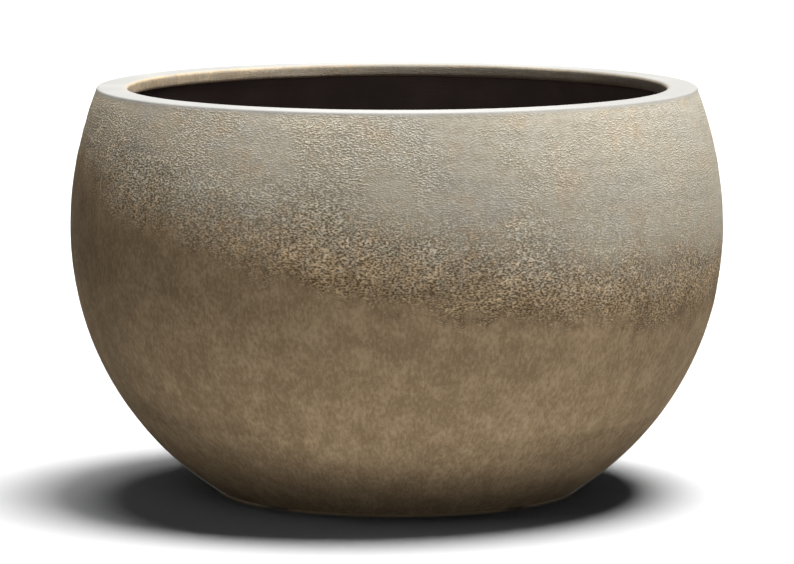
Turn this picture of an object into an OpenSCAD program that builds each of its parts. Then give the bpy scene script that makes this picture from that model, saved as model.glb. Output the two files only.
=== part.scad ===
// Concrete bowl planter: a one-piece cast bowl on four rubber pads, with a black waterproof inside,
// a steel cage cast into the wall and floor, and a drain with a rubber plug.
// The origin is on the ground under the middle of the bowl, with +Z up and -Y to the front.

/* [Bowl outline] */
// Diameter of the bowl at its widest place
bowl_d = 762; // [640:1:900]
// Height of the rim above the bowl's own underside
bowl_h = 470; // [420:1:540]
// Height of the widest place above the bowl's own underside
belly_h = 305.5; // [280:0.5:330]
// Radius of the profile arc above the widest place
upper_arc_r = 438; // [380:1:520]
// Radius of the profile arc below the widest place
lower_arc_r = 361; // [345:1:420]
// Rounding of the outer corner where the wall meets the underside
foot_round = 8; // [2:0.5:14]

/* [Wall, rim and floor] */
// Thickness of the cast wall
wall_t = 28; // [24:0.5:40]
// Width of the rim across its top, edge roundings included
rim_w = 36.5; // [32:0.5:50]
// Depth of the upright lip inside the mouth
lip_h = 16.5; // [12:0.5:30]
// Rounding of the rim's outer edge
rim_outer_round = 3; // [1:0.25:6]
// Rounding of the rim's inner edge
rim_inner_round = 4; // [1:0.25:5]
// Rounding of the lip's lower edge
lip_round = 4; // [1:0.25:5]
// Thickness of the floor over the hollow of the underside
floor_t = 40; // [34:0.5:60]
// Radius of the cove between the floor and the wall
floor_cove = 40; // [20:1:70]

/* [Underside] */
// Width of the standing ring, measured in from the flat of the underside
ring_w = 60; // [48:1:90]
// Depth of the hollow inside the standing ring
hollow_h = 9; // [4:0.5:14]
// Rounding at the root of the hollow
hollow_cove = 5; // [1:0.5:8]

/* [Foot pads] */
// Number of rubber pads
pad_count = 4; // [3:1:8]
// Direction of the first pad, counted from the +X side
pad_angle = 45; // [0:5:90]
// Diameter of a pad
pad_d = 40; // [25:1:44]
// Depth of the pocket that a pad is glued into
pad_pocket = 5; // [3:0.5:8]
// How far a pad stands out of the underside
pad_proud = 3; // [2:0.5:6]
// Chamfer round the lower edge of a pad
pad_chamfer = 1; // [0.5:0.25:1.5]

/* [Waterproof coat] */
// Thickness of the coat on the inside
coat_t = 2; // [1:0.25:4]

/* [Steel cage] */
// Number of upright bars
bar_count = 8; // [6:1:16]
// Direction of the first bar, counted from the +X side
bar_angle = 22.5; // [0:0.5:45]
// Diameter of an upright bar
bar_d = 6; // [4:0.5:8]
// Diameter of a hoop's bar
hoop_d = 6; // [4:0.5:8]
// Concrete between the outer face and a hoop
steel_cover = 7; // [5:0.5:9]
// Gap between a hoop and the bars that it is tied to
tie_gap = 0.4; // [0.2:0.1:1]
// Depth of a bar's upper end under the rim's top, at its centre line
bar_top_drop = 13.5; // [12:0.5:17]
// Inside radius of the bend at the foot of a bar, to its centre line
bar_bend_r = 30; // [20:1:45]
// Height of a bar's foot over the hollow of the underside, to its centre line
bar_foot_h = 16; // [12:0.5:20]
// Distance from the drain's axis to the end of a bar's foot
bar_foot_end = 45; // [36:1:90]
// How far the weld between a bar's wall stretch and its bend stands proud of the bar
weld_proud = 0.05; // [0.03:0.01:0.2]
// Depth of the rim hoop under the rim's top, to its centre line
rim_hoop_drop = 18; // [17.5:0.5:30]
// Angle up the upper arc of the belly hoop
belly_hoop_angle = 1; // [0:0.5:8]
// Angle down the lower arc of the haunch hoop
haunch_hoop_angle = 27; // [18:0.5:36]
// Angle down the lower arc of the base hoop
base_hoop_angle = 49; // [42:0.5:50]
// Radius of the hoop round the drain, to its centre line
drain_hoop_r = 60; // [52:1:100]

/* [Drain coupling] */
// Bore of the pipe sockets, for a pipe of 33.4 outside diameter
socket_d = 33.5; // [25:0.1:42]
// Wall of the coupling round its sockets
coupling_wall = 3.5; // [2.5:0.25:5]
// Thickness of the stop between the two sockets
stop_t = 4; // [3:0.5:6]
// Width of the stop, inwards from the socket's wall
stop_w = 3; // [2:0.25:5]
// Width of the anchor ring round the coupling
anchor_w = 5; // [3:0.5:8]
// Thickness of the anchor ring
anchor_t = 4; // [3:0.5:8]

/* [Drain plug] */
// Gap between the plug and the socket
plug_gap = 0.3; // [0.2:0.05:0.6]
// Depth of the plug's shank in the drain
plug_depth = 15; // [10:0.5:17]
// How much narrower the shank is at its lower end, on the radius
plug_taper = 1.2; // [0.5:0.1:2.5]
// Width of the flange, outwards from the shank
flange_w = 8.5; // [5:0.5:14]
// Thickness of the flange
flange_t = 3; // [2:0.5:5]
// Diameter of the neck under the pull
neck_d = 10; // [8:0.5:14]
// Height of the neck
neck_h = 6; // [5:0.5:12]
// Diameter of the pull
pull_d = 20; // [18:0.5:30]
// Thickness of the pull
pull_t = 7; // [5:0.5:9]

/* [Quality] */
// Facets in a full turn of the large surfaces
smoothness = 256; // [96:16:360]
// Facets round a steel bar
bar_smoothness = 32; // [24:8:64]

/* [Hidden] */
$fn = smoothness;

// Longer than anything in the model, for half planes and cuts that pass right through.
far = 2 * (bowl_d + bowl_h);

// Heights above the ground.
underside_z = pad_proud;
belly_z = underside_z + belly_h;
rim_z = underside_z + bowl_h;
lip_z = rim_z - lip_h;
hollow_z = underside_z + hollow_h;
floor_z = hollow_z + floor_t;
coat_z = floor_z + coat_t;

// The two profile arcs are tangent at the widest place, so their centres lie at its height.
upper_c = [bowl_d / 2 - upper_arc_r, belly_z];
lower_c = [bowl_d / 2 - lower_arc_r, belly_z];

// Radius at which a circle round c with radius r stands at height z.
function radius_at(c, r, z) = c[0] + sqrt(r * r - (z - c[1]) * (z - c[1]));
// Centre of a rounding between the inside of that circle and the level at z; side is 1 below a top, -1 over a floor.
function round_c(c, r, z, round_r, side) =
    [radius_at(c, r - round_r, z - side * round_r), z - side * round_r];
// Point of the profile at a depth under the outer face and an angle up the upper arc or down the lower arc.
function upper_point(depth, angle) = upper_c + (upper_arc_r - depth) * [cos(angle), sin(angle)];
function lower_point(depth, angle) = lower_c + (lower_arc_r - depth) * [cos(angle), -sin(angle)];

mouth_r = radius_at(upper_c, upper_arc_r, rim_z) - rim_w;
foot_r = round_c(lower_c, lower_arc_r, underside_z, foot_round, -1)[0];
hollow_r = foot_r - ring_w;
pad_ring_r = foot_r - ring_w / 2;

// Depths of the steel's centre lines under the outer face: hoops outside, bars tied to their inner side.
hoop_depth = steel_cover + hoop_d / 2;
tie_step = hoop_d / 2 + tie_gap + bar_d / 2;
bar_depth = hoop_depth + tie_step;

bar_top_angle = asin((rim_z - bar_top_drop - belly_z) / (upper_arc_r - bar_depth));
bar_foot_z = hollow_z + bar_foot_h;
bend_c = round_c(lower_c, lower_arc_r - bar_depth, bar_foot_z, bar_bend_r, -1);
bend_angle = atan2(bend_c[1] - belly_z, bend_c[0] - lower_c[0]);
bend_start = bend_c + bar_bend_r * [cos(bend_angle), sin(bend_angle)];
weld_r = bar_d / 2 + weld_proud;
// Each stretch ends inside the weld, half as far from its middle as the weld's cover reaches.
weld_setback = sqrt(weld_r * weld_r - bar_d * bar_d / 4) / 2;

socket_r = socket_d / 2;
coupling_r = socket_r + coupling_wall;
socket_depth = (floor_t - stop_t) / 2;
anchor_z = hollow_z + (floor_t - anchor_t) / 2;
shank_r = socket_r - plug_gap;
flange_r = shank_r + flange_w;

concrete_colour = [0.66, 0.61, 0.53];
coat_colour = [0.1, 0.08, 0.07];
steel_colour = [0.45, 0.4, 0.36];
pipe_colour = [0.5, 0.52, 0.54];
rubber_colour = [0.12, 0.12, 0.12];

// The part of the plane that lies over z, right of the axis.
module over(z) {
    translate([0, z]) square(far);
}

module disc(c, r) {
    translate(c) circle(r = r);
}

// The wedge from c outwards, between the direction angle and straight up (side 1) or straight down (side -1).
module corner_wedge(c, angle, side) {
    out = [cos(angle), sin(angle)];
    upright = [0, side];
    translate(c) polygon(far * [[0, 0], out, out + upright, upright]);
}

// Takes the corner of its children off along a round of radius round_r about c.
module rounded_corner(c, round_r, angle, side) {
    difference() {
        children();
        difference() {
            corner_wedge(c, angle, side);
            disc(c, round_r);
        }
    }
}

// The bowl's section drawn in by depth, from the level bottom to the level top, with no roundings.
module plain_section(depth, bottom, top) {
    difference() {
        union() {
            intersection() {
                disc(upper_c, upper_arc_r - depth);
                over(belly_z);
            }
            intersection() {
                disc(lower_c, lower_arc_r - depth);
                difference() {
                    over(bottom);
                    over(belly_z);
                }
            }
        }
        over(top);
    }
}

// The same with its lower corner rounded.
module dished_section(depth, bottom, top, round_r) {
    c = round_c(lower_c, lower_arc_r - depth, bottom, round_r, -1);
    rounded_corner(c, round_r, atan2(c[1] - belly_z, c[0] - lower_c[0]), -1)
        plain_section(depth, bottom, top);
}

// Outline of the whole bowl, solid.
module outer_section() {
    c = round_c(upper_c, upper_arc_r, rim_z, rim_outer_round, 1);
    rounded_corner(c, rim_outer_round, atan2(c[1] - belly_z, c[0] - upper_c[0]), 1)
        dished_section(0, underside_z, rim_z, foot_round);
}

// The inside under the lip, before it is coated.
module inside_section() {
    dished_section(wall_t, floor_z, lip_z, floor_cove);
}

// The mouth, with the flare of the rounded edges over and under the lip.
module mouth_section() {
    difference() {
        translate([0, lip_z]) square([mouth_r + max(rim_inner_round, lip_round), lip_h]);
        // The lip itself stands between its two rounded edges.
        translate([mouth_r, lip_z + lip_round]) square([far, lip_h - lip_round - rim_inner_round]);
        translate([mouth_r + lip_round, lip_z]) square([far, lip_round]);
        translate([mouth_r + rim_inner_round, rim_z - rim_inner_round]) square([far, rim_inner_round]);
        disc([mouth_r + lip_round, lip_z + lip_round], lip_round);
        disc([mouth_r + rim_inner_round, rim_z - rim_inner_round], rim_inner_round);
    }
}

// The hollow inside the standing ring, with a rounded root.
module hollow_section() {
    c = [hollow_r - hollow_cove, hollow_z - hollow_cove];
    translate([0, underside_z]) square([c[0], hollow_h]);
    translate([0, underside_z]) square([hollow_r, hollow_h - hollow_cove]);
    disc(c, hollow_cove);
}

// The coupling's outer form in section.
module coupling_section() {
    translate([0, hollow_z]) square([coupling_r, floor_t]);
    translate([0, anchor_z]) square([coupling_r + anchor_w, anchor_t]);
}

// Where the five hoops run, as points of the section.
rim_hoop_z = rim_z - rim_hoop_drop;
rim_hoop_p = [radius_at(upper_c, upper_arc_r - hoop_depth, rim_hoop_z), rim_hoop_z];
belly_hoop_p = upper_point(hoop_depth, belly_hoop_angle);
haunch_hoop_p = lower_point(hoop_depth, haunch_hoop_angle);
base_hoop_p = lower_point(hoop_depth, base_hoop_angle);
drain_hoop_p = [drain_hoop_r, bar_foot_z + tie_step];

module hoop_section(p) {
    translate(p) circle(d = hoop_d, $fn = bar_smoothness);
}

module hoop(p) {
    color(steel_colour) rotate_extrude() hoop_section(p);
}

// A bent stretch of bar about c, between two angles, in the upright plane through the axis.
module bar_arc(c, r, from_angle, to_angle) {
    translate([c[0], 0, c[1]]) rotate([90, 0, 0])
        rotate_extrude(angle = to_angle - from_angle, start = from_angle)
            translate([r, 0]) circle(d = bar_d, $fn = bar_smoothness);
}

// Angle that the weld's setback takes up on an arc of radius r.
function turn(r) = weld_setback / r * 180 / PI;

// One upright bar: up the wall on both arcs, round the bend at its foot and along the floor to the drain.
module bar(i) {
    wall_arc_r = lower_arc_r - bar_depth;
    rotate([0, 0, bar_angle + (i - 1) * 360 / bar_count]) {
        bar_arc(upper_c, upper_arc_r - bar_depth, 0, bar_top_angle);
        bar_arc(lower_c, wall_arc_r, bend_angle + turn(wall_arc_r), 0);
        translate([bend_start[0], 0, bend_start[1]]) sphere(r = weld_r, $fn = bar_smoothness);
        bar_arc(bend_c, bar_bend_r, -90, bend_angle - turn(bar_bend_r));
        translate([bar_foot_end, 0, bar_foot_z]) rotate([0, 90, 0])
            cylinder(h = bend_c[0] - bar_foot_end, d = bar_d, $fn = bar_smoothness);
    }
}

module upright_bar(i) {
    color(steel_colour) bar(i);
}

// Puts its children at the place of pad i, with the ground at their zero.
module at_pad(i) {
    rotate([0, 0, pad_angle + (i - 1) * 360 / pad_count]) translate([pad_ring_r, 0, 0]) children();
}

module bowl_shell() {
    color(concrete_colour) difference() {
        rotate_extrude() difference() {
            outer_section();
            inside_section();
            mouth_section();
            hollow_section();
            coupling_section();
            for (p = [rim_hoop_p, belly_hoop_p, haunch_hoop_p, base_hoop_p, drain_hoop_p]) hoop_section(p);
        }
        for (i = [1:bar_count]) bar(i);
        for (i = [1:pad_count]) at_pad(i) cylinder(h = underside_z + pad_pocket, d = pad_d);
    }
}

// The coat lines the inside from the floor up to the underside of the lip and laps over the coupling's end.
module waterproof_coat() {
    color(coat_colour) rotate_extrude() difference() {
        inside_section();
        dished_section(wall_t + coat_t, coat_z, lip_z, floor_cove - coat_t);
        translate([0, floor_z]) square([socket_r, coat_t]);
    }
}

module rim_hoop() {
    hoop(rim_hoop_p);
}

module belly_hoop() {
    hoop(belly_hoop_p);
}

module haunch_hoop() {
    hoop(haunch_hoop_p);
}

module base_hoop() {
    hoop(base_hoop_p);
}

module drain_hoop() {
    hoop(drain_hoop_p);
}

// A pipe coupling cast into the floor: a socket from below, a socket from above, a stop between them.
module drain_coupling() {
    color(pipe_colour) rotate_extrude() difference() {
        coupling_section();
        translate([0, hollow_z]) square([socket_r - stop_w, floor_t]);
        translate([0, hollow_z]) square([socket_r, socket_depth]);
        translate([0, floor_z - socket_depth]) square([socket_r, socket_depth]);
    }
}

// A rubber plug: a tapered shank, a flange that lies on the coat, and a round pull on a neck.
module drain_plug() {
    pull_z = coat_z + flange_t + neck_h;
    edge_r = pull_t / 2;
    color(rubber_colour) rotate_extrude() {
        polygon([
            [0, coat_z - plug_depth],
            [shank_r - plug_taper, coat_z - plug_depth],
            [shank_r, coat_z],
            [0, coat_z]
        ]);
        translate([0, coat_z]) square([flange_r - flange_t / 2, flange_t]);
        intersection() {
            disc([flange_r - flange_t / 2, coat_z + flange_t / 2], flange_t / 2);
            over(coat_z);
        }
        translate([0, coat_z + flange_t]) square([neck_d / 2, neck_h]);
        translate([0, pull_z]) square([pull_d / 2 - edge_r, pull_t]);
        intersection() {
            disc([pull_d / 2 - edge_r, pull_z + edge_r], edge_r);
            over(pull_z);
        }
    }
}

module foot_pad(i) {
    color(rubber_colour) at_pad(i) rotate_extrude() polygon([
        [0, 0],
        [pad_d / 2 - pad_chamfer, 0],
        [pad_d / 2, pad_chamfer],
        [pad_d / 2, underside_z + pad_pocket],
        [0, underside_z + pad_pocket]
    ]);
}

bowl_shell();
waterproof_coat();
rim_hoop();
belly_hoop();
haunch_hoop();
base_hoop();
drain_hoop();
for (i = [1:bar_count]) upright_bar(i);
drain_coupling();
drain_plug();
for (i = [1:pad_count]) foot_pad(i);
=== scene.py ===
# Concrete bowl planter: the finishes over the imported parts, a plain studio and the camera.
import bpy
import bmesh
import math
import numpy as np
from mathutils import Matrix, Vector


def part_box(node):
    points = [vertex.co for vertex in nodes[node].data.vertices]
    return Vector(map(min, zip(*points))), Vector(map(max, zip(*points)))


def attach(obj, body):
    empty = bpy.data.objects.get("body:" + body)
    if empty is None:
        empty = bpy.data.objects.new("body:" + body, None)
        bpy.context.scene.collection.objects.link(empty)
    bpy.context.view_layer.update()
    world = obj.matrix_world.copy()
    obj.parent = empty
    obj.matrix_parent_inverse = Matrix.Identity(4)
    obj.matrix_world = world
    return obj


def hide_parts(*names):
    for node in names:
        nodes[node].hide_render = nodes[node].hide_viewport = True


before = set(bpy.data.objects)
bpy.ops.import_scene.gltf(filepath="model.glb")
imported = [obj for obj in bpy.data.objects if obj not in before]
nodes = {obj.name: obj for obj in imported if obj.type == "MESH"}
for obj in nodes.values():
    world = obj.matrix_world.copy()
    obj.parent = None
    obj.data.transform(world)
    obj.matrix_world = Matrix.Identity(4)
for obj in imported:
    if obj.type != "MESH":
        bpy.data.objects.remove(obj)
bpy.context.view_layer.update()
print("frame loaded with", len(nodes), "nodes")

camera = {
    "distance": 6.0,  # metres in front of the bowl's axis
    "height": 0.981,
    "pitchDown": 7.015,  # degrees
    "lens": 234.59,  # millimetres
    "sensor": 36,  # millimetres across
    "farthest": 100,  # how far it sees
}


def placeCamera():
    lens = bpy.data.cameras.new("studioCamera")
    lens.lens = camera["lens"]
    lens.sensor_width = camera["sensor"]
    lens.clip_end = camera["farthest"]
    shooter = bpy.data.objects.new("studioCamera", lens)
    shooter.location = (0, -camera["distance"], camera["height"])
    shooter.rotation_euler = (math.radians(90 - camera["pitchDown"]), 0, 0)
    bpy.context.scene.collection.objects.link(shooter)
    bpy.context.scene.camera = shooter


placeCamera()
print("camera placed")


scatter = {  # large odd numbers and shifts that turn a cell's place and a seed into a random number
    "axes": (73856093, 19349663, 83492791),
    "seed": 26544357,
    "stirs": (1274126177, 2246822519),
    "firstShift": 15,
    "lastShift": 8,
    "wordMask": 0xFFFFFFFF,  # 32 bits
    "valueMask": 0xFFFF,  # the 16 bits that make the value
    "offset": 100,  # cells, so that all cell numbers are positive
}


# Random numbers from 0 to 1 on a lattice, the same on every run.
def latticeValues(cells, seed):
    mixed = seed * scatter["seed"]
    for axis, factor in enumerate(scatter["axes"]):
        mixed = mixed ^ cells[:, axis] * factor
    first, second = scatter["stirs"]
    mixed = (mixed & scatter["wordMask"]) * first & scatter["wordMask"]
    mixed = (mixed ^ mixed >> scatter["firstShift"]) * second & scatter["wordMask"]
    return (mixed >> scatter["lastShift"] & scatter["valueMask"]) / scatter["valueMask"]


# Smooth values from 0 to 1 at the points; width is that of one blob, or one width for each axis.
def softNoise(points, width, seed):
    scaled = points / np.asarray(width) + scatter["offset"]
    cells = np.floor(scaled).astype(np.int64)
    t = scaled - cells
    t = t * t * (3 - 2 * t)
    total = np.zeros(len(points))
    for corner in np.ndindex(2, 2, 2):
        share = np.prod(np.where(corner, t, 1 - t), axis=1)
        total += share * latticeValues(cells + corner, seed)
    return total


# 0 below low, 1 above high, and a soft step from one to the other.
def smoothStep(low, high, value):
    t = np.clip((value - low) / (high - low), 0, 1)
    return t * t * (3 - 2 * t)


shellLow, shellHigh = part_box("bowl_shell")
coatLow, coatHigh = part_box("waterproof_coat")
couplingLow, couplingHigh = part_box("drain_coupling")

bowl = {
    "bellyHeight": 0.3055,  # above the underside
    "upperArc": 0.438,  # radius of the outer wall above the belly
    "lowerArc": 0.361,  # and under it
    "wall": 0.028,
    "rimWidth": 0.0365,
    "rimOuterRound": 0.003,
    "rimInnerRound": 0.004,
    "footRound": 0.008,
    "floorCove": 0.040,
    "ringWidth": 0.060,  # flat standing ring round the hollow underside
    "hollowCove": 0.005,
    "anchorWidth": 0.005,  # of the coupling's collar, which is cast into the floor
    "anchorHeight": 0.004,
    "columns": 608,  # faces round the visible surface, a multiple of the next value
    "columnsPerInner": 4,  # of them to each column of the inside
    "fineDownTo": 0.235,  # height above the ground down to which the rows are fine
    "rows": {  # the length of one row of faces along the section
        "foot": 0.003,
        "coarse": 0.0056,  # the smooth lower part
        "fine": 0.0036,  # the rough upper part
        "rimRound": 0.0012,
        "rimTop": 0.0038,
        "mouthRound": 0.0018,
        "lip": 0.003,
        "lipStep": 0.010,  # under the lip, out to the wall
        "inside": 0.016,  # the wall under the coat
        "cove": 0.008,
        "hollowCove": 0.002,
    },
    "pocketSides": 48,
    "sharpAngle": 50,  # degrees from which an edge is shaded as an edge
}


def arcPoints(centre, radius, fromAngle, toAngle, step):
    count = max(2, math.ceil(abs(toAngle - fromAngle) * radius / step))
    angles = np.linspace(fromAngle, toAngle, count + 1)
    return [(centre[0] + radius * math.cos(a), centre[1] + radius * math.sin(a)) for a in angles]


def linePoints(start, end, step):
    count = max(1, math.ceil(math.dist(start, end) / step))
    return [tuple(np.add(start, np.subtract(end, start) * i / count)) for i in range(count + 1)]


# Centre and touching angle of a round of that size between an arc and a level line at height z.
def roundAt(centre, arc, size, z):
    gap = math.sqrt((arc - size) ** 2 - (z - centre[1]) ** 2)
    return (centre[0] + gap, z), math.atan2(z - centre[1], gap)


def joined(*stretches):
    points = []
    for stretch in stretches:
        points += stretch if not points else stretch[1:]
    return points


# Radius and height of the bowl's section, from the foot up over the rim, down the inside and
# through the drain to the standing ring: first what shows, then what the coat and the ground hide.
def bowlSection():
    under = shellLow.z
    rim = shellHigh.z
    belly = under + bowl["bellyHeight"]
    upperCentre = (shellHigh.x - bowl["upperArc"], belly)
    lowerCentre = (shellHigh.x - bowl["lowerArc"], belly)
    rimRadius = upperCentre[0] + math.sqrt(bowl["upperArc"] ** 2 - (rim - belly) ** 2)
    mouth = rimRadius - bowl["rimWidth"]
    lip = coatHigh.z
    floor = coatLow.z
    hollow = couplingLow.z
    anchor = couplingHigh.x
    drain = anchor - bowl["anchorWidth"]
    anchorLow = (hollow + floor - bowl["anchorHeight"]) / 2
    anchorTop = anchorLow + bowl["anchorHeight"]
    innerUpper = bowl["upperArc"] - bowl["wall"]
    innerLower = bowl["lowerArc"] - bowl["wall"]

    foot = bowl["footRound"]
    rimRound = bowl["rimOuterRound"]
    cove = bowl["floorCove"]
    footCentre, footTurn = roundAt(lowerCentre, bowl["lowerArc"], foot, under + foot)
    rimCentre, rimTurn = roundAt(upperCentre, bowl["upperArc"], rimRound, rim - rimRound)
    coveCentre, coveTurn = roundAt(lowerCentre, innerLower, cove, floor + cove)
    edge = bowl["rimInnerRound"]
    mouthCentre = (mouth + edge, rim - edge)
    lipCentre = (mouth + edge, lip + edge)
    fineTurn = -math.asin((belly - bowl["fineDownTo"]) / bowl["lowerArc"])
    wallTop = (upperCentre[0] + math.sqrt(innerUpper ** 2 - (lip - belly) ** 2), lip)
    ringInner = footCentre[0] - bowl["ringWidth"]
    hollowCove = bowl["hollowCove"]
    hollowCentre = (ringInner - hollowCove, hollow - hollowCove)
    quarter = math.pi / 2

    rows = bowl["rows"]
    outside = joined(
        arcPoints(footCentre, foot, -quarter, footTurn, rows["foot"]),
        arcPoints(lowerCentre, bowl["lowerArc"], footTurn, fineTurn, rows["coarse"]),
        arcPoints(lowerCentre, bowl["lowerArc"], fineTurn, 0, rows["fine"]),
        arcPoints(upperCentre, bowl["upperArc"], 0, rimTurn, rows["fine"]),
        arcPoints(rimCentre, rimRound, rimTurn, quarter, rows["rimRound"]),
        linePoints((rimCentre[0], rim), (mouthCentre[0], rim), rows["rimTop"]),
        arcPoints(mouthCentre, edge, quarter, 2 * quarter, rows["mouthRound"]),
        linePoints((mouth, mouthCentre[1]), (mouth, lipCentre[1]), rows["lip"]),
        arcPoints(lipCentre, edge, 2 * quarter, 3 * quarter, rows["mouthRound"]),
    )
    inside = joined(
        linePoints((lipCentre[0], lip), wallTop, rows["lipStep"])[1:],
        arcPoints(upperCentre, innerUpper, math.asin((lip - belly) / innerUpper), 0, rows["inside"]),
        arcPoints(lowerCentre, innerLower, 0, coveTurn, rows["inside"]),
        arcPoints(coveCentre, cove, coveTurn, -quarter, rows["cove"]),
        [
            (coveCentre[0], floor),
            (drain, floor),
            (drain, anchorTop),
            (anchor, anchorTop),
            (anchor, anchorLow),
            (drain, anchorLow),
            (drain, hollow),
            (hollowCentre[0], hollow),
        ],
        arcPoints(hollowCentre, hollowCove, quarter, 0, rows["hollowCove"]),
        [(ringInner, hollowCentre[1]), (ringInner, under)],
    )
    return outside, inside


# The faces of the bowl: fine columns outside and on the rim, fewer inside, and a flat standing
# ring with a pocket for each foot pad.
def bowlMesh():
    outside, inside = bowlSection()
    columns = bowl["columns"]
    share = bowl["columnsPerInner"]
    coarse = columns // share
    verts = []
    faces = []

    def addRing(radius, z, count):
        start = len(verts)
        turn = np.arange(count) * 2 * math.pi / count
        verts.extend(zip(radius * np.cos(turn), radius * np.sin(turn), np.full(count, z)))
        return start

    def addBand(lower, upper, count):
        for i in range(count):
            j = (i + 1) % count
            faces.append((lower + i, lower + j, upper + j, upper + i))

    rings = [addRing(r, z, columns) for r, z in outside]
    for lower, upper in zip(rings, rings[1:]):
        addBand(lower, upper, columns)
    hiddenRings = [addRing(r, z, coarse) for r, z in inside]
    last = rings[-1]
    first = hiddenRings[0]
    for i in range(coarse):
        fan = [last + (share * i + k) % columns for k in range(share + 1)]
        faces.append((*fan, first + (i + 1) % coarse, first + i))
    for lower, upper in zip(hiddenRings, hiddenRings[1:]):
        addBand(lower, upper, coarse)

    mesh = bpy.data.meshes.new("bowlShell")
    mesh.from_pydata(verts, [], faces)
    shaped = bmesh.new()
    shaped.from_mesh(mesh)
    shaped.verts.ensure_lookup_table()
    outline = [e for e in shaped.edges if e.is_boundary]
    for name in sorted(n for n in nodes if n.startswith("foot_pad_")):
        outline += addPocket(shaped, *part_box(name))
    bmesh.ops.triangle_fill(shaped, use_beauty=True, edges=outline, normal=(0, 0, -1))
    bmesh.ops.recalc_face_normals(shaped, faces=shaped.faces)
    shaped.to_mesh(mesh)
    shaped.free()
    return mesh, outside


# A pocket in the standing ring as deep as its pad goes in; gives back the edges of its mouth.
def addPocket(shaped, low, high):
    sides = bowl["pocketSides"]
    middle = (low + high) / 2
    radius = (high.x - low.x) / 2
    mouth = []
    roof = []
    for i in range(sides):
        turn = 2 * math.pi * i / sides
        x = middle.x + radius * math.cos(turn)
        y = middle.y + radius * math.sin(turn)
        mouth.append(shaped.verts.new((x, y, shellLow.z)))
        roof.append(shaped.verts.new((x, y, high.z)))
    shaped.faces.new(roof)
    for i in range(sides):
        j = (i + 1) % sides
        shaped.faces.new((mouth[i], mouth[j], roof[j], roof[i]))
    return [shaped.edges.get((mouth[i], mouth[(i + 1) % sides])) for i in range(sides)]


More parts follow.
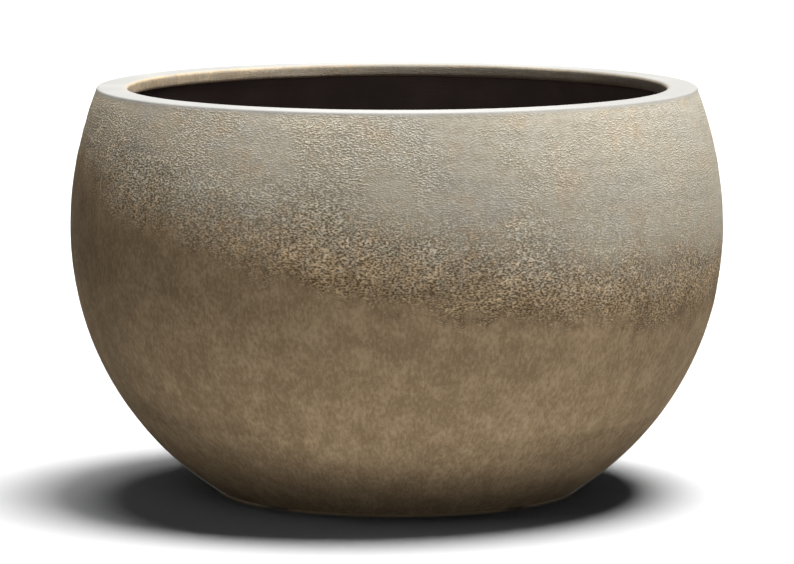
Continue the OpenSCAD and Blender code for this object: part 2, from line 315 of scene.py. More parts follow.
skin = {
    "seed": 11,
    "noises": {  # width of one blob, or its widths on the three axes, and its own step from the seed
        "wideWander": (0.11, 0),
        "narrowWander": (0.030, 1),
        "widePatch": (0.075, 2),
        "narrowPatch": (0.025, 3),
        "wideClump": (0.0085, 4),
        "narrowClump": (0.0051, 5),
        "wave": (0.130, 6),
        "trowel": ((0.070, 0.070, 0.009), 7),
        "smoothGrain": (0.017, 8),
        "rag": (0.009, 9),
        "shade": (0.075, 10),
        "dust": (0.05, 12),
    },
    "wideShare": 0.6,  # share of the wide patches and clumps in what they make with the narrow ones

    # the edge between the rough upper part and the smooth lower one, laid where the overhead lamp's light
    # gives out and leaning the way that lamp leans
    "edgeHeight": 0.306,  # on the axis
    "tilt": (0.176, -0.105),  # how much lower it lies per metre of X and Y
    "edgeLifts": (  # from and to which X it lies how much higher
        (-0.27, -0.10, 0.010),
        (-0.37, -0.31, 0.012),
    ),
    "edgeWander": 0.020,  # how far it wanders up or down
    "edgeRag": 0.024,  # height of its ragged teeth
    "edgeBlend": (-0.026, 0.022),  # heights over it between which smooth turns into rough

    # how brown the surface is
    "brownFrom": -0.05,  # height over the edge at which the brown starts to fade
    "brownReach": (0.065, 0.155),  # and at which it is gone, towards -X and elsewhere
    "brownReachX": (-0.24, 0.0),  # from and to which X one turns into the other
    "brownSide": 0.27,  # how much browner the side towards -X is
    "brownSideX": (-0.34, 0.08),
    "brownLip": 0.22,  # how much browner the lip is than the rim

    # how pale the surface is: the concrete's own tone with painted light and shade in it
    # By height over the edge: darker below it, partly the concrete's own darker lower part and partly painted
    # shade where the overhead lamp's light gives out; paler a little above the foot, painted light from the
    # pale ground; darkest at the foot, painted contact shade; paler up towards the rim, painted light from
    # above.
    "toneWithPaintedShading": {  # by height over the edge
        -0.30: 0.22,
        -0.25: 0.23,
        -0.20: 0.33,
        -0.12: 0.28,
        -0.05: 0.24,
        -0.01: 0.26,
        0.03: 0.41,
        0.08: 0.49,
        0.13: 0.50,
        0.18: 0.56,
        0.24: 0.61,
    },
    "hiddenPaleness": 0.22,  # inside and underneath
    "shadeLow": 0.92,  # the darkest patches have this share of the paleness
    "shadeSpan": 0.16,  # and the palest have this much more
    "paintedLightSide": 0.20,  # painted light: how much paler the rough part is towards -X
    "paintedLightSideX": (-0.16, 0.01),
    "paintedLightSideFrom": (-0.005, 0.035),  # heights over the edge between which that sets in
    "darkFlank": 0.22,  # painted shade: how much darker the smooth part is at its outermost towards -X
    "darkFlankX": (-0.365, -0.325),
    "darkFlankFrom": (-0.16, -0.08),
    "lipPaintedShadeAndLight": 0.28,  # painted shade and light: how much darker the lip is towards +X, and paler towards -X
    "rimPaleness": (0.45, 0.565),  # of the ground rim, where it is dusty and where it is clean
    "rimDust": (0.5, 1.2, 0.4),  # on the axis, added per metre to a side, and taken off by the noise
    "rimDustBlend": (0.25, 0.75),

    # how rough the surface is
    "quietPatch": (0.32, 0.60),  # noise between which a patch is less and less quiet
    "quietShade": 0.10,  # how much darker quiet patches of the rough part are
    "quietRough": 0.30,  # and how much less rough
    "fadeFrom": (0.055, 0.125),  # heights over the edge between which the roughness fades
    "fade": 0.58,
    "roughTop": {  # roughness of the upper part by X
        -0.28: 0.72,
        -0.20: 0.70,
        -0.11: 1.0,
        0.0: 1.0,
        0.12: 1.15,
        0.21: 0.55,
        0.30: 0.60,
    },
    "roughEdge": {  # and close to the edge
        -0.25: 0.95,
        -0.11: 1.1,
        0.0: 1.4,
        0.12: 1.3,
        0.21: 1.0,
        0.30: 1.3,
    },
    "roughTopFrom": (0.04, 0.09),  # heights over the edge between which one turns into the other
    "roughMost": 1.2,
    "roughUnderRim": (0.4, 0.452, 0.468),  # how much less there, fading in between these heights
    "roughLip": 0.3,  # share of it on the lip
    "roughRim": 0.9,  # how much less it is on the rim
    "rimDown": (0.0036, 0.0010),  # how far under the top the rim's paleness starts and is full
    "lipEdge": 0.0014,  # how far from the mouth the rim starts

    # how deep the surface lies under the cast shape
    "clumpDepth": 0.0009,
    "waveDepth": 0.0009,
    "trowelDepth": 0.0005,
    "smoothGrainDepth": 0.00025,
    "rimFlatter": 0.75,  # how much flatter the ground rim is
    "footFlat": 0.006,  # height over the ground up to which the relief fades in
}


def skinNoise(name, points):
    width, step = skin["noises"][name]
    return softNoise(points, width, skin["seed"] + step)


def patchesOf(name, points):
    share = skin["wideShare"]
    return skinNoise("wide" + name, points) * share + skinNoise("narrow" + name, points) * (1 - share)


# Reads a table by its keys, with straight lines in between.
def fromTable(table, at):
    return np.interp(at, list(table), list(table.values()))


# The places of the visible points if the wall were a straight cylinder, so that marks keep their
# length down the wall.
def wrappedPlaces(outside):
    columns = bowl["columns"]
    run = np.cumsum([0] + [math.dist(a, b) for a, b in zip(outside, outside[1:])])
    turn = np.tile(np.arange(columns) * 2 * math.pi / columns, len(outside))
    return np.stack([shellHigh.x * np.cos(turn), shellHigh.x * np.sin(turn), np.repeat(run, columns)], axis=1)


# How high each point lies over the edge of the rough part, and how smooth it is, from 0 to 1.
def edgeOf(seen):
    x, y, z = seen.T
    edge = skin["edgeHeight"] - x * skin["tilt"][0] - y * skin["tilt"][1]
    for start, end, lift in skin["edgeLifts"]:
        edge += lift * (1 - smoothStep(start, end, x))
    wander = skinNoise("wideWander", seen) + skinNoise("narrowWander", seen) - 1
    above = z - edge - wander * skin["edgeWander"]
    ragged = above + skin["edgeRag"] * (skinNoise("rag", seen) - 0.5)
    return above, 1 - smoothStep(*skin["edgeBlend"], ragged)


# 1 on the pale ground rim, which fades a few millimetres down the wall and stops at the mouth;
# and 0 inside the mouth, 1 outside of it.
def rimOf(seen, outside):
    mouth = outside[-1][0] - bowl["rimInnerRound"]
    start, full = skin["rimDown"]
    rim = smoothStep(shellHigh.z - start, shellHigh.z - full, seen[:, 2])
    radius = np.hypot(seen[:, 0], seen[:, 1])
    outward = smoothStep(mouth + skin["lipEdge"], mouth + bowl["rimInnerRound"], radius)
    return rim * outward, outward


def brownnessOf(seen, above, outward):
    x = seen[:, 0]
    sideReach, farReach = skin["brownReach"]
    reach = sideReach + (farReach - sideReach) * smoothStep(*skin["brownReachX"], x)
    brownness = 1 - smoothStep(skin["brownFrom"], reach, above)
    brownness += skin["brownSide"] * (1 - smoothStep(*skin["brownSideX"], x))
    return brownness + skin["brownLip"] * (1 - outward)


def toneWithPaintedShadingOf(seen, above, smooth, quiet, rim, outward):
    x = seen[:, 0]
    toneWithPaintedShading = fromTable(skin["toneWithPaintedShading"], above)
    toneWithPaintedShading *= skin["shadeLow"] + skin["shadeSpan"] * skinNoise("shade", seen)
    toneWithPaintedShading *= 1 - skin["quietShade"] * quiet * (1 - smooth)
    # Painted light on the rough part towards -X.
    side = (1 - smoothStep(*skin["paintedLightSideX"], x)) * smoothStep(*skin["paintedLightSideFrom"], above)
    toneWithPaintedShading *= 1 + skin["paintedLightSide"] * side
    # Painted shade on the smooth part at its outermost towards -X.
    flankShade = (1 - smoothStep(*skin["darkFlankX"], x)) * smoothStep(*skin["darkFlankFrom"], above) * smooth
    toneWithPaintedShading *= 1 - skin["darkFlank"] * flankShade
    # Painted shade on the lip towards +X and painted light towards -X.
    toneWithPaintedShading *= 1 - (1 - outward) * x / shellHigh.x * skin["lipPaintedShadeAndLight"]
    dusty, clean = skin["rimPaleness"]
    middle, sideways, patchy = skin["rimDust"]
    dust = middle + np.abs(x) * sideways - patchy * skinNoise("dust", seen)
    dust = smoothStep(*skin["rimDustBlend"], dust)
    return toneWithPaintedShading + rim * (clean + (dusty - clean) * dust - toneWithPaintedShading)


def roughnessOf(seen, above, smooth, quiet, rim, outward):
    x = seen[:, 0]
    rough = 1 - skin["fade"] * smoothStep(*skin["fadeFrom"], above) - skin["quietRough"] * quiet
    top = fromTable(skin["roughTop"], x)
    low = fromTable(skin["roughEdge"], x)
    rough *= low + (top - low) * smoothStep(*skin["roughTopFrom"], above)
    rough = np.minimum(rough, skin["roughMost"])
    less, start, end = skin["roughUnderRim"]
    rough *= (1 - smooth) * (1 - less * smoothStep(start, end, seen[:, 2]))
    lip = skin["roughLip"]
    return rough * (lip + (1 - lip) * outward) * (1 - skin["roughRim"] * rim)


def depthOf(seen, wrapped, smooth, rough, rim):
    depth = skin["clumpDepth"] * rough * patchesOf("Clump", seen)
    depth += skin["waveDepth"] * skinNoise("wave", seen)
    depth += skin["trowelDepth"] * skinNoise("trowel", wrapped) * (1 - smooth)
    depth += skin["smoothGrainDepth"] * skinNoise("smoothGrain", seen)
    depth *= 1 - skin["rimFlatter"] * rim
    return depth * smoothStep(shellLow.z, shellLow.z + skin["footFlat"], seen[:, 2])


# Moves the visible vertices inwards by the relief, and keeps what the finish reads: the wrapped place,
# brownness, roughness and rim, and paleness with its painted light and shade.
def weatherBowl(mesh, outside):
    count = len(mesh.vertices)
    flat = np.zeros(count * 3)
    mesh.vertices.foreach_get("co", flat)
    spots = flat.reshape(-1, 3)
    visible = bowl["columns"] * len(outside)
    seen = spots[:visible].copy()
    wrap = spots.copy()
    wrap[:visible] = wrappedPlaces(outside)

    above, smooth = edgeOf(seen)
    rim, outward = rimOf(seen, outside)
    quiet = 1 - smoothStep(*skin["quietPatch"], patchesOf("Patch", seen))
    rough = roughnessOf(seen, above, smooth, quiet, rim, outward)
    depth = depthOf(seen, wrap[:visible], smooth, rough, rim)
    normals = np.zeros(count * 3)
    mesh.vertices.foreach_get("normal", normals)
    spots[:visible] -= normals.reshape(-1, 3)[:visible] * depth[:, None]
    mesh.vertices.foreach_set("co", spots.ravel())

    zones = np.zeros((count, 3))
    zones[:visible] = np.stack([brownnessOf(seen, above, outward), rough, rim], axis=1)
    toneWithPaintedShading = np.full(count, skin["hiddenPaleness"])
    toneWithPaintedShading[:visible] = toneWithPaintedShadingOf(seen, above, smooth, quiet, rim, outward)
    for name, values in (("wrap", wrap), ("zones", zones)):
        layer = mesh.attributes.new(name, "FLOAT_VECTOR", "POINT")
        layer.data.foreach_set("vector", values.ravel())
    mesh.attributes.new("toneWithPaintedShading", "FLOAT", "POINT").data.foreach_set("value", toneWithPaintedShading)
    mesh.update()


def makeBowl():
    mesh, outside = bowlMesh()
    weatherBowl(mesh, outside)
    mesh.polygons.foreach_set("use_smooth", [True] * len(mesh.polygons))
    mesh.set_sharp_from_angle(angle=math.radians(bowl["sharpAngle"]))
    piece = bpy.data.objects.new("bowlShell", mesh)
    bpy.context.scene.collection.objects.link(piece)
    mesh.materials.append(concreteFinish())
    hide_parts("bowl_shell")
    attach(piece, "bowl")


def newFinish(name):
    finish = bpy.data.materials.new(name)
    finish.use_nodes = True
    finish.node_tree.nodes.clear()
    return finish, finish.node_tree


# A node with its inputs set or linked by name, where _ stands for a blank.
def addNode(tree, kind, **inputs):
    node = tree.nodes.new(kind)
    for name, value in inputs.items():
        plug(tree, node.inputs[name.replace("_", " ")], value)
    return node


def plug(tree, socket, value):
    if isinstance(value, bpy.types.NodeSocket):
        tree.links.new(value, socket)
    else:
        socket.default_value = value


# A noise whose blobs are that wide, in metres.
def noiseOf(tree, place, width, detail=2.0, roughness=0.5):
    noise = "ShaderNodeTexNoise"
    node = addNode(tree, noise, Vector=place, Scale=1 / width, Detail=detail, Roughness=roughness)
    return node.outputs["Fac"]


# The place stretched so that a noise read from it comes out that much longer on each axis.
def stretched(tree, place, factors):
    scale = [1 / f for f in factors]
    return addNode(tree, "ShaderNodeMapping", Vector=place, Scale=scale).outputs["Vector"]


# 0 below low, 1 above high, and a soft step from one to the other.
def between(tree, value, low, high):
    node = tree.nodes.new("ShaderNodeMapRange")
    node.interpolation_type = "SMOOTHSTEP"
    plug(tree, node.inputs["Value"], value)
    node.inputs["From Min"].default_value = low
    node.inputs["From Max"].default_value = high
    return node.outputs["Result"]


def maths(tree, operation, first, second):
    node = tree.nodes.new("ShaderNodeMath")
    node.operation = operation
    plug(tree, node.inputs[0], first)
    plug(tree, node.inputs[1], second)
    return node.outputs["Value"]


def blended(tree, amount, first, second, way="MIX"):
    node = tree.nodes.new("ShaderNodeMix")
    node.data_type = "RGBA"
    node.blend_type = way
    plug(tree, node.inputs["Factor"], amount)
    plug(tree, node.inputs["A"], first)
    plug(tree, node.inputs["B"], second)
    return node.outputs["Result"]


def rougher(tree, amount, least, added):
    return maths(tree, "ADD", maths(tree, "MULTIPLY", amount, added), least)


# A rough or glossy surface with a relief; height runs from 0 to 1 over the given depth in metres.
def surface(tree, colour, roughness, height, depth, shine, metal=0.0):
    bump = addNode(tree, "ShaderNodeBump", Height=height, Distance=depth, Strength=1.0)
    shader = tree.nodes.new("ShaderNodeBsdfPrincipled")
    plug(tree, shader.inputs["Base Color"], colour)
    plug(tree, shader.inputs["Roughness"], roughness)
    shader.inputs["Specular IOR Level"].default_value = shine
    shader.inputs["Metallic"].default_value = metal
    tree.links.new(bump.outputs["Normal"], shader.inputs["Normal"])
    output = tree.nodes.new("ShaderNodeOutputMaterial")
    tree.links.new(shader.outputs["BSDF"], output.inputs["Surface"])


concrete = {
    # colours of one paleness, which the skin's paleness, painted light and shade included, then scales
    "beige": (1.095, 1.00, 0.810),
    "cool": (1.070, 1.00, 0.845),
    "warm": (1.140, 0.98, 0.755),
    "mottle": (0.89, 0.87, 0.84),  # how a blotch darkens the rough part
    "earth": (1.320, 0.94, 0.545),  # the smooth lower part
    "dark": (1.020, 0.715, 0.405),
    "sand": (1.600, 1.17, 0.705),
    "rim": (1.020, 1.00, 0.950),
    "pitShade": (0.38, 0.34, 0.27),  # painted shade: how a hollow between grains darkens the colour
    "tipHighlight": (1.62, 1.61, 1.58),  # painted highlight: and how the top of a grain brightens it

    # noises: width, detail and roughness
    "grain": (0.0024, 1.0),
    "coolPatch": (0.085, 3.0),
    "warmPatch": (0.052, 4.0, 0.6),
    "blotch": (0.0085, 3.0, 0.6),
    "stroke": (0.0040, 4.0, 0.65),
    "cloud": (0.030, 4.0, 0.65),
    "lump": (0.011, 4.0, 0.6),
    "sandGrain": (0.0013, 2.0),
    "grainShape": (1.3, 1.3, 0.70),  # how much longer round the bowl and down the wall a grain is
    "strokeShape": (1.0, 1.0, 1.7),

    # the noise at which each starts and is full
    "grainFrom": (0.30, 0.70),
    "coolFrom": (0.42, 0.66),
    "warmFrom": (0.48, 0.72),
    "blotchFrom": (0.42, 0.62),
    "earthFrom": (0.40, 0.54),
    "sandFrom": (0.50, 0.62),
    "pitShadeFrom": (0.45, 0.0),
    "tipHighlightFrom": (0.50, 1.0),
    "tipHighlightRoughness": (0.0, 0.9),  # the same, but of the skin's roughness

    "grainSink": 0.12,  # how far the grains sink where the skin isn't rough
    "cloudShare": 0.45,  # of the clouds in the tones of the lower part; the strokes have the rest
    "brownLumps": 0.9,  # how raggedly the brown of the lower part starts
    "relief": 0.0032,  # height of a grain
    "sandRelief": 0.10,  # and of the sand and strokes, as shares of that
    "strokeRelief": 0.12,
    "roughness": 0.85,
    "shine": 0.12,
}


def colourOf(name):
    return (*concrete[name], 1)


def readLayer(tree, name):
    node = tree.nodes.new("ShaderNodeAttribute")
    node.attribute_name = name
    return node.outputs["Fac" if name == "toneWithPaintedShading" else "Vector"]


# Grains are wider than high, and where the skin is less rough they sink, so that only the tallest
# stand out.
def grainsOf(tree, wrap, rough):
    noise = noiseOf(tree, stretched(tree, wrap, concrete["grainShape"]), *concrete["grain"])
    sunk = maths(tree, "MULTIPLY", maths(tree, "SUBTRACT", rough, 1.0), concrete["grainSink"])
    return between(tree, maths(tree, "ADD", noise, sunk), *concrete["grainFrom"])


# Beige with cool and warm patches and darker blotches.
def upperColour(tree, place, wrap):
    cool = between(tree, noiseOf(tree, place, *concrete["coolPatch"]), *concrete["coolFrom"])
    warm = between(tree, noiseOf(tree, place, *concrete["warmPatch"]), *concrete["warmFrom"])
    blotches = between(tree, noiseOf(tree, wrap, *concrete["blotch"]), *concrete["blotchFrom"])
    colour = blended(tree, cool, colourOf("beige"), colourOf("cool"))
    colour = blended(tree, warm, colour, colourOf("warm"))
    return blended(tree, blotches, colour, colourOf("mottle"), "MULTIPLY")


# Dark, earth and sand tones in clouds, with upright strokes through them.
def lowerColour(tree, wrap, strokes):
    clouds = noiseOf(tree, wrap, *concrete["cloud"])
    share = concrete["cloudShare"]
    drawn = maths(tree, "MULTIPLY", strokes, 1 - share)
    tones = maths(tree, "ADD", drawn, maths(tree, "MULTIPLY", clouds, share))
    colour = blended(tree, between(tree, tones, *concrete["earthFrom"]), colourOf("dark"), colourOf("earth"))
    return blended(tree, between(tree, tones, *concrete["sandFrom"]), colour, colourOf("sand"))


def concreteFinish():
    finish, tree = newFinish("castConcrete")
    place = addNode(tree, "ShaderNodeTexCoord").outputs["Object"]
    wrap = readLayer(tree, "wrap")
    zones = addNode(tree, "ShaderNodeSeparateXYZ", Vector=readLayer(tree, "zones"))
    brownness = zones.outputs["X"]
    rough = zones.outputs["Y"]
    rim = zones.outputs["Z"]
    grains = grainsOf(tree, wrap, rough)
    strokes = noiseOf(tree, stretched(tree, wrap, concrete["strokeShape"]), *concrete["stroke"])

    lumps = maths(tree, "SUBTRACT", noiseOf(tree, place, *concrete["lump"]), 0.5)
    ragged = maths(tree, "ADD", brownness, maths(tree, "MULTIPLY", lumps, concrete["brownLumps"]))
    brown = between(tree, ragged, 0.0, 1.0)
    colour = blended(tree, brown, upperColour(tree, place, wrap), lowerColour(tree, wrap, strokes))
    # Painted shade in the hollows between grains and painted highlights on their tops, where the skin is
    # rough.
    pitShades = maths(tree, "MULTIPLY", between(tree, grains, *concrete["pitShadeFrom"]), rough)
    colour = blended(tree, pitShades, colour, colourOf("pitShade"), "MULTIPLY")
    onRough = between(tree, rough, *concrete["tipHighlightRoughness"])
    tipHighlights = maths(tree, "MULTIPLY", between(tree, grains, *concrete["tipHighlightFrom"]), onRough)
    colour = blended(tree, tipHighlights, colour, colourOf("tipHighlight"), "MULTIPLY")
    colour = blended(tree, rim, colour, colourOf("rim"))
    scaled = addNode(tree, "ShaderNodeVectorMath", Vector=colour)
    scaled.operation = "SCALE"
    tree.links.new(readLayer(tree, "toneWithPaintedShading"), scaled.inputs["Scale"])
    colour = scaled.outputs["Vector"]

    sand = maths(tree, "MULTIPLY", noiseOf(tree, place, *concrete["sandGrain"]), concrete["sandRelief"])
    drawn = maths(tree, "MULTIPLY", strokes, concrete["strokeRelief"])
    raised = maths(tree, "MULTIPLY", grains, rough)
    height = maths(tree, "ADD", maths(tree, "ADD", raised, sand), drawn)
    surface(tree, colour, concrete["roughness"], height, concrete["relief"], concrete["shine"])
    return finish


coat = {
    "black": (0.055, 0.0385, 0.034, 1),
    "worn": (0.075, 0.053, 0.047, 1),
    "cloud": (0.06, 3.0),  # noises: width, detail and roughness
    "wornFrom": (0.35, 0.7),  # the noise at which the worn colour starts and is full
    "brushShape": (0.030, 0.030, 0.0022),  # brush marks run round the inside
    "brush": (1.0, 3.0, 0.6),
    "brushFrom": (0.3, 0.7),  # the noise that gives the least and the most of the roughness
    "roughness": (0.5, 0.75),
    "relief": 0.0004,
    "shine": 0.2,
}


def coatFinish():
    finish, tree = newFinish("blackCoat")
    place = addNode(tree, "ShaderNodeTexCoord").outputs["Object"]
    marks = noiseOf(tree, stretched(tree, place, coat["brushShape"]), *coat["brush"])
    clouds = noiseOf(tree, place, *coat["cloud"])
    colour = blended(tree, between(tree, clouds, *coat["wornFrom"]), coat["black"], coat["worn"])
    low, high = coat["brushFrom"]
    sleek, rough = coat["roughness"]
    levels = {"From_Min": low, "From_Max": high, "To_Min": sleek, "To_Max": rough}
    roughness = addNode(tree, "ShaderNodeMapRange", Value=marks, **levels).outputs["Result"]
    surface(tree, colour, roughness, marks, coat["relief"], coat["shine"])
    return finish


steel = {
    "scale": (0.16, 0.15, 0.145, 1),
    "rust": (0.23, 0.095, 0.04, 1),
    "spot": (0.008, 5.0, 0.65),  # noise: width, detail and roughness
    "rustFrom": (0.48, 0.62),  # the noise at which the rust starts and is full
    "roughness": (0.45, 0.4),  # bare, and added where it is rusty
    "relief": 0.0002,
    "shine": 0.4,
    "metal": 0.7,
}


def steelFinish():
    finish, tree = newFinish("reinforcingSteel")
    place = addNode(tree, "ShaderNodeTexCoord").outputs["Object"]
    spots = noiseOf(tree, place, *steel["spot"])
    rusty = between(tree, spots, *steel["rustFrom"])
    colour = blended(tree, rusty, steel["scale"], steel["rust"])
    roughness = rougher(tree, rusty, *steel["roughness"])
    surface(tree, colour, roughness, spots, steel["relief"], steel["shine"], steel["metal"])
    return finish


plastic = {
    "grey": (0.19, 0.195, 0.20, 1),
    "scuffed": (0.25, 0.255, 0.26, 1),
    "scuffShape": (1.0, 1.0, 0.25),
    "scuff": (0.004, 4.0, 0.6),  # noise: width, detail and roughness
    "scuffFrom": (0.5, 0.75),  # the noise at which the scuffs start and are full
    "roughness": (0.3, 0.3),  # clean, and added where it is scuffed
    "relief": 0.0001,
    "shine": 0.5,
}


def plasticFinish():
    finish, tree = newFinish("greyPlastic")
    place = addNode(tree, "ShaderNodeTexCoord").outputs["Object"]
    scuffs = noiseOf(tree, stretched(tree, place, plastic["scuffShape"]), *plastic["scuff"])
    scuffed = between(tree, scuffs, *plastic["scuffFrom"])
    colour = blended(tree, scuffed, plastic["grey"], plastic["scuffed"])
    roughness = rougher(tree, scuffs, *plastic["roughness"])
    surface(tree, colour, roughness, scuffs, plastic["relief"], plastic["shine"])
    return finish


rubber = {
    "black": (0.024, 0.024, 0.025, 1),
    "dusty": (0.055, 0.052, 0.048, 1),
    "grain": (0.0009, 2.0),  # noises: width, detail and roughness
    "dust": (0.011, 4.0, 0.6),
    "dustFrom": (0.5, 0.75),  # the noise at which the dust starts and is full
    "roughness": (0.5, 0.25),  # clean, and added where it is dusty
    "relief": 0.00012,
    "shine": 0.35,
}


def rubberFinish():
    finish, tree = newFinish("blackRubber")
    place = addNode(tree, "ShaderNodeTexCoord").outputs["Object"]
    grain = noiseOf(tree, place, *rubber["grain"])
    dust = noiseOf(tree, place, *rubber["dust"])
    colour = blended(tree, between(tree, dust, *rubber["dustFrom"]), rubber["black"], rubber["dusty"])
    roughness = rougher(tree, dust, *rubber["roughness"])
    surface(tree, colour, roughness, grain, rubber["relief"], rubber["shine"])
    return finish


makeBowl()
print("bowl cast and weathered")


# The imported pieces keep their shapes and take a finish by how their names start.
def finishPieces():
    rubberBlack = rubberFinish()
    finishes = {
        "waterproof_coat": coatFinish(),
        "drain_coupling": plasticFinish(),
        "drain_plug": rubberBlack,
        "foot_pad": rubberBlack,
    }
    barsAndHoops = steelFinish()
    for name, piece in nodes.items():
        if name == "bowl_shell":
            continue
        finish = next((finishes[start] for start in finishes if name.startswith(start)), barsAndHoops)
        for place in piece.material_slots:
            place.material = finish


finishPieces()
print("coat, steel, plastic and rubber finished")

studio = {
    "keyDirection": (0.151, -0.105, 1.0),  # towards the lamp over the bowl
    "keyLevel": 1.62,  # a surface that faces the lamp renders at this times its colour
    "keySize": 27,  # degrees across
    "shadows": {  # the lamps of the floor: direction towards them, level and degrees across
        "floorLampRight": ((0.236, 0.118, 1.0), 1.20, 25.9),
        "floorLampLeft": ((-0.077, 0.263, 1.0), 0.259, 18.2),
        "floorLampLow": ((-0.75, -0.66, 1.4), 0.19, 40),
        "floorLampSide": ((1.0, -0.1, 1.3), 0.15, 40),
    },
    "backLamp": ((0, 1.0, -0.25), 0.45, 8),  # what the ground sends up at the back, given as above
    "coatLamp": ((-0.06, -1.0, 0.16), 0.17, 14),  # lights the coat alone, from the front
    "fills": {  # place and power of the soft lamps that fill in
        "sideLamp": ((2.85, -0.4, 2.95), 30),
        "highLamp": ((-2.33, -2.33, 2.6), 5),
    },
    "fillSize": (1.2, 0.9),
    "fillAim": (0, 0, 0.25),
    "floorReach": 30,
    "floorWhite": 0.93,
}


# 1 for rays from the camera, a mirror or through glass, 0 for the light that falls on the bowl.
def seenRay(tree):
    path = tree.nodes.new("ShaderNodeLightPath")
    seen = maths(tree, "MAXIMUM", path.outputs["Is Camera Ray"], path.outputs["Is Glossy Ray"])
    return maths(tree, "MAXIMUM", seen, path.outputs["Is Transmission Ray"])


# White to look at, and without light of its own.
def makeWorld():
    world = bpy.data.worlds.new("studio")
    world.use_nodes = True
    tree = world.node_tree
    background = tree.nodes["Background"]
    background.inputs["Color"].default_value = (1, 1, 1, 1)
    tree.links.new(seenRay(tree), background.inputs["Strength"])
    bpy.context.scene.world = world


# White to look at where no shadow falls, and black to the bowl, so that it sends no light up.
def makeFloor():
    mesh = bpy.data.meshes.new("floor")
    reach = studio["floorReach"]
    corners = [(-reach, -reach, 0), (reach, -reach, 0), (reach, reach, 0), (-reach, reach, 0)]
    mesh.from_pydata(corners, [], [(0, 1, 2, 3)])
    floor = bpy.data.objects.new("floor", mesh)
    bpy.context.scene.collection.objects.link(floor)
    finish, tree = newFinish("whiteFloor")
    white = (studio["floorWhite"],) * 3 + (1,)
    matt = addNode(tree, "ShaderNodeBsdfDiffuse", Color=blended(tree, seenRay(tree), (0, 0, 0, 1), white))
    output = tree.nodes.new("ShaderNodeOutputMaterial")
    tree.links.new(matt.outputs["BSDF"], output.inputs["Surface"])
    mesh.materials.append(finish)
    return floor


def skyLamp(name, direction, level, size):
    light = bpy.data.lights.new(name, "SUN")
    light.energy = level * math.pi
    light.angle = math.radians(size)
    lamp = bpy.data.objects.new(name, light)
    lamp.rotation_euler = Vector(direction).to_track_quat("Z", "Y").to_euler()
    bpy.context.scene.collection.objects.link(lamp)
    return lamp


def softLamp(name, place, power):
    light = bpy.data.lights.new(name, "AREA")
    light.shape = "RECTANGLE"
    light.size, light.size_y = studio["fillSize"]
    light.energy = power
    lamp = bpy.data.objects.new(name, light)
    lamp.location = place
    lamp.rotation_euler = (lamp.location - Vector(studio["fillAim"])).to_track_quat("Z", "Y").to_euler()
    hideFromView(lamp)
    bpy.context.scene.collection.objects.link(lamp)
    return lamp


def hideFromView(thing):
    thing.visible_camera = False
    thing.visible_glossy = False
    thing.visible_transmission = False


# The lamp lights only that thing, or else everything but that thing, which then casts no shadow in
# its light either.
def linkLamp(lamp, thing, only):
    lit = bpy.data.collections.new(lamp.name + "Lights")
    lit.objects.link(thing)
    lamp.light_linking.receiver_collection = lit
    lit.collection_objects[0].light_linking.link_state = "INCLUDE" if only else "EXCLUDE"
    if not only:
        lamp.light_linking.blocker_collection = lit


# The shadow lamps light only the floor and the coat lamp only the coat. The others leave the
# floor out.
def makeLamps(floor):
    for name, lamp in studio["shadows"].items():
        linkLamp(skyLamp(name, *lamp), floor, True)
    bowlLamps = [skyLamp("bowlLamp", studio["keyDirection"], studio["keyLevel"], studio["keySize"])]
    bowlLamps.append(skyLamp("backLamp", *studio["backLamp"]))
    bowlLamps += [softLamp(name, *lamp) for name, lamp in studio["fills"].items()]
    for lamp in bowlLamps:
        linkLamp(lamp, floor, False)
    linkLamp(skyLamp("coatLamp", *studio["coatLamp"]), nodes["waterproof_coat"], True)


groundCard = {
    "radii": (0.21, 0.30, 0.46, 1.4),  # it starts, starts to brighten, is full, and ends
    "height": 0.0015,
    "columns": 96,
    "glows": (  # towards which sides it glows, and how strongly
        ((0.5, -0.87, 0), 0.79),
        ((-0.35, -0.94, 0), 0.53),
        ((1.0, -0.1, 0), 0.28),
    ),
    "dim": 0.06,  # share of the full glow close to the bowl
    "shadowGlow": 0.006,  # its least glow, and all that it gives downwards
}


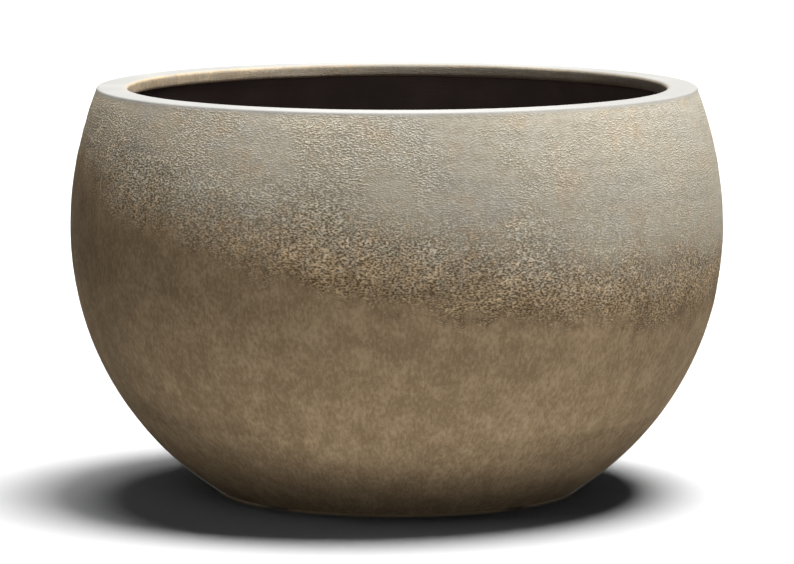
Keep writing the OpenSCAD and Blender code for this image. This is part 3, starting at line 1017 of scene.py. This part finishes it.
def addGround():
    columns = groundCard["columns"]
    verts = []
    faces = []
    for radius in groundCard["radii"]:
        for i in range(columns):
            turn = 2 * math.pi * i / columns
            verts.append((radius * math.cos(turn), radius * math.sin(turn), groundCard["height"]))
    for first in range(0, len(verts) - columns, columns):
        for i in range(columns):
            j = (i + 1) % columns
            faces.append((first + i, first + columns + i, first + columns + j, first + j))
    mesh = bpy.data.meshes.new("groundCard")
    mesh.from_pydata(verts, [], faces)
    card = bpy.data.objects.new("groundCard", mesh)
    bpy.context.scene.collection.objects.link(card)
    return card


def groundGlow():
    finish, tree = newFinish("groundGlow")
    place = addNode(tree, "ShaderNodeTexCoord").outputs["Object"]
    outwards = addNode(tree, "ShaderNodeVectorMath", Vector=place)
    outwards.operation = "NORMALIZE"
    level = 0.0
    for side, share in groundCard["glows"]:
        facing = tree.nodes.new("ShaderNodeVectorMath")
        facing.operation = "DOT_PRODUCT"
        tree.links.new(outwards.outputs["Vector"], facing.inputs[0])
        facing.inputs[1].default_value = side
        shared = maths(tree, "MULTIPLY", maths(tree, "MAXIMUM", facing.outputs["Value"], 0.0), share)
        level = maths(tree, "ADD", shared, level)
    distance = addNode(tree, "ShaderNodeVectorMath", Vector=place)
    distance.operation = "LENGTH"
    brightens, isFull = groundCard["radii"][1:3]
    full = between(tree, distance.outputs["Value"], brightens, isFull)
    dim = groundCard["dim"]
    full = maths(tree, "ADD", maths(tree, "MULTIPLY", full, 1 - dim), dim)
    upwards = maths(tree, "SUBTRACT", 1.0, tree.nodes.new("ShaderNodeNewGeometry").outputs["Backfacing"])
    strength = maths(tree, "MULTIPLY", maths(tree, "MULTIPLY", level, full), upwards)
    strength = maths(tree, "MAXIMUM", strength, groundCard["shadowGlow"])
    glow = addNode(tree, "ShaderNodeEmission", Strength=strength)
    output = tree.nodes.new("ShaderNodeOutputMaterial")
    tree.links.new(glow.outputs["Emission"], output.inputs["Surface"])
    return finish


# A ring on the ground that glows upwards, as pale ground lights what stands on it. The camera looks
# through it, and it keeps the light that leaves the bowl off the floor's shadow.
def makeGroundCard():
    card = addGround()
    card.data.materials.append(groundGlow())
    hideFromView(card)
    card.visible_shadow = False


makeWorld()
makeLamps(makeFloor())
makeGroundCard()
bpy.context.scene.view_settings.view_transform = "Standard"
print("world, lamps, floor and ground glow placed")
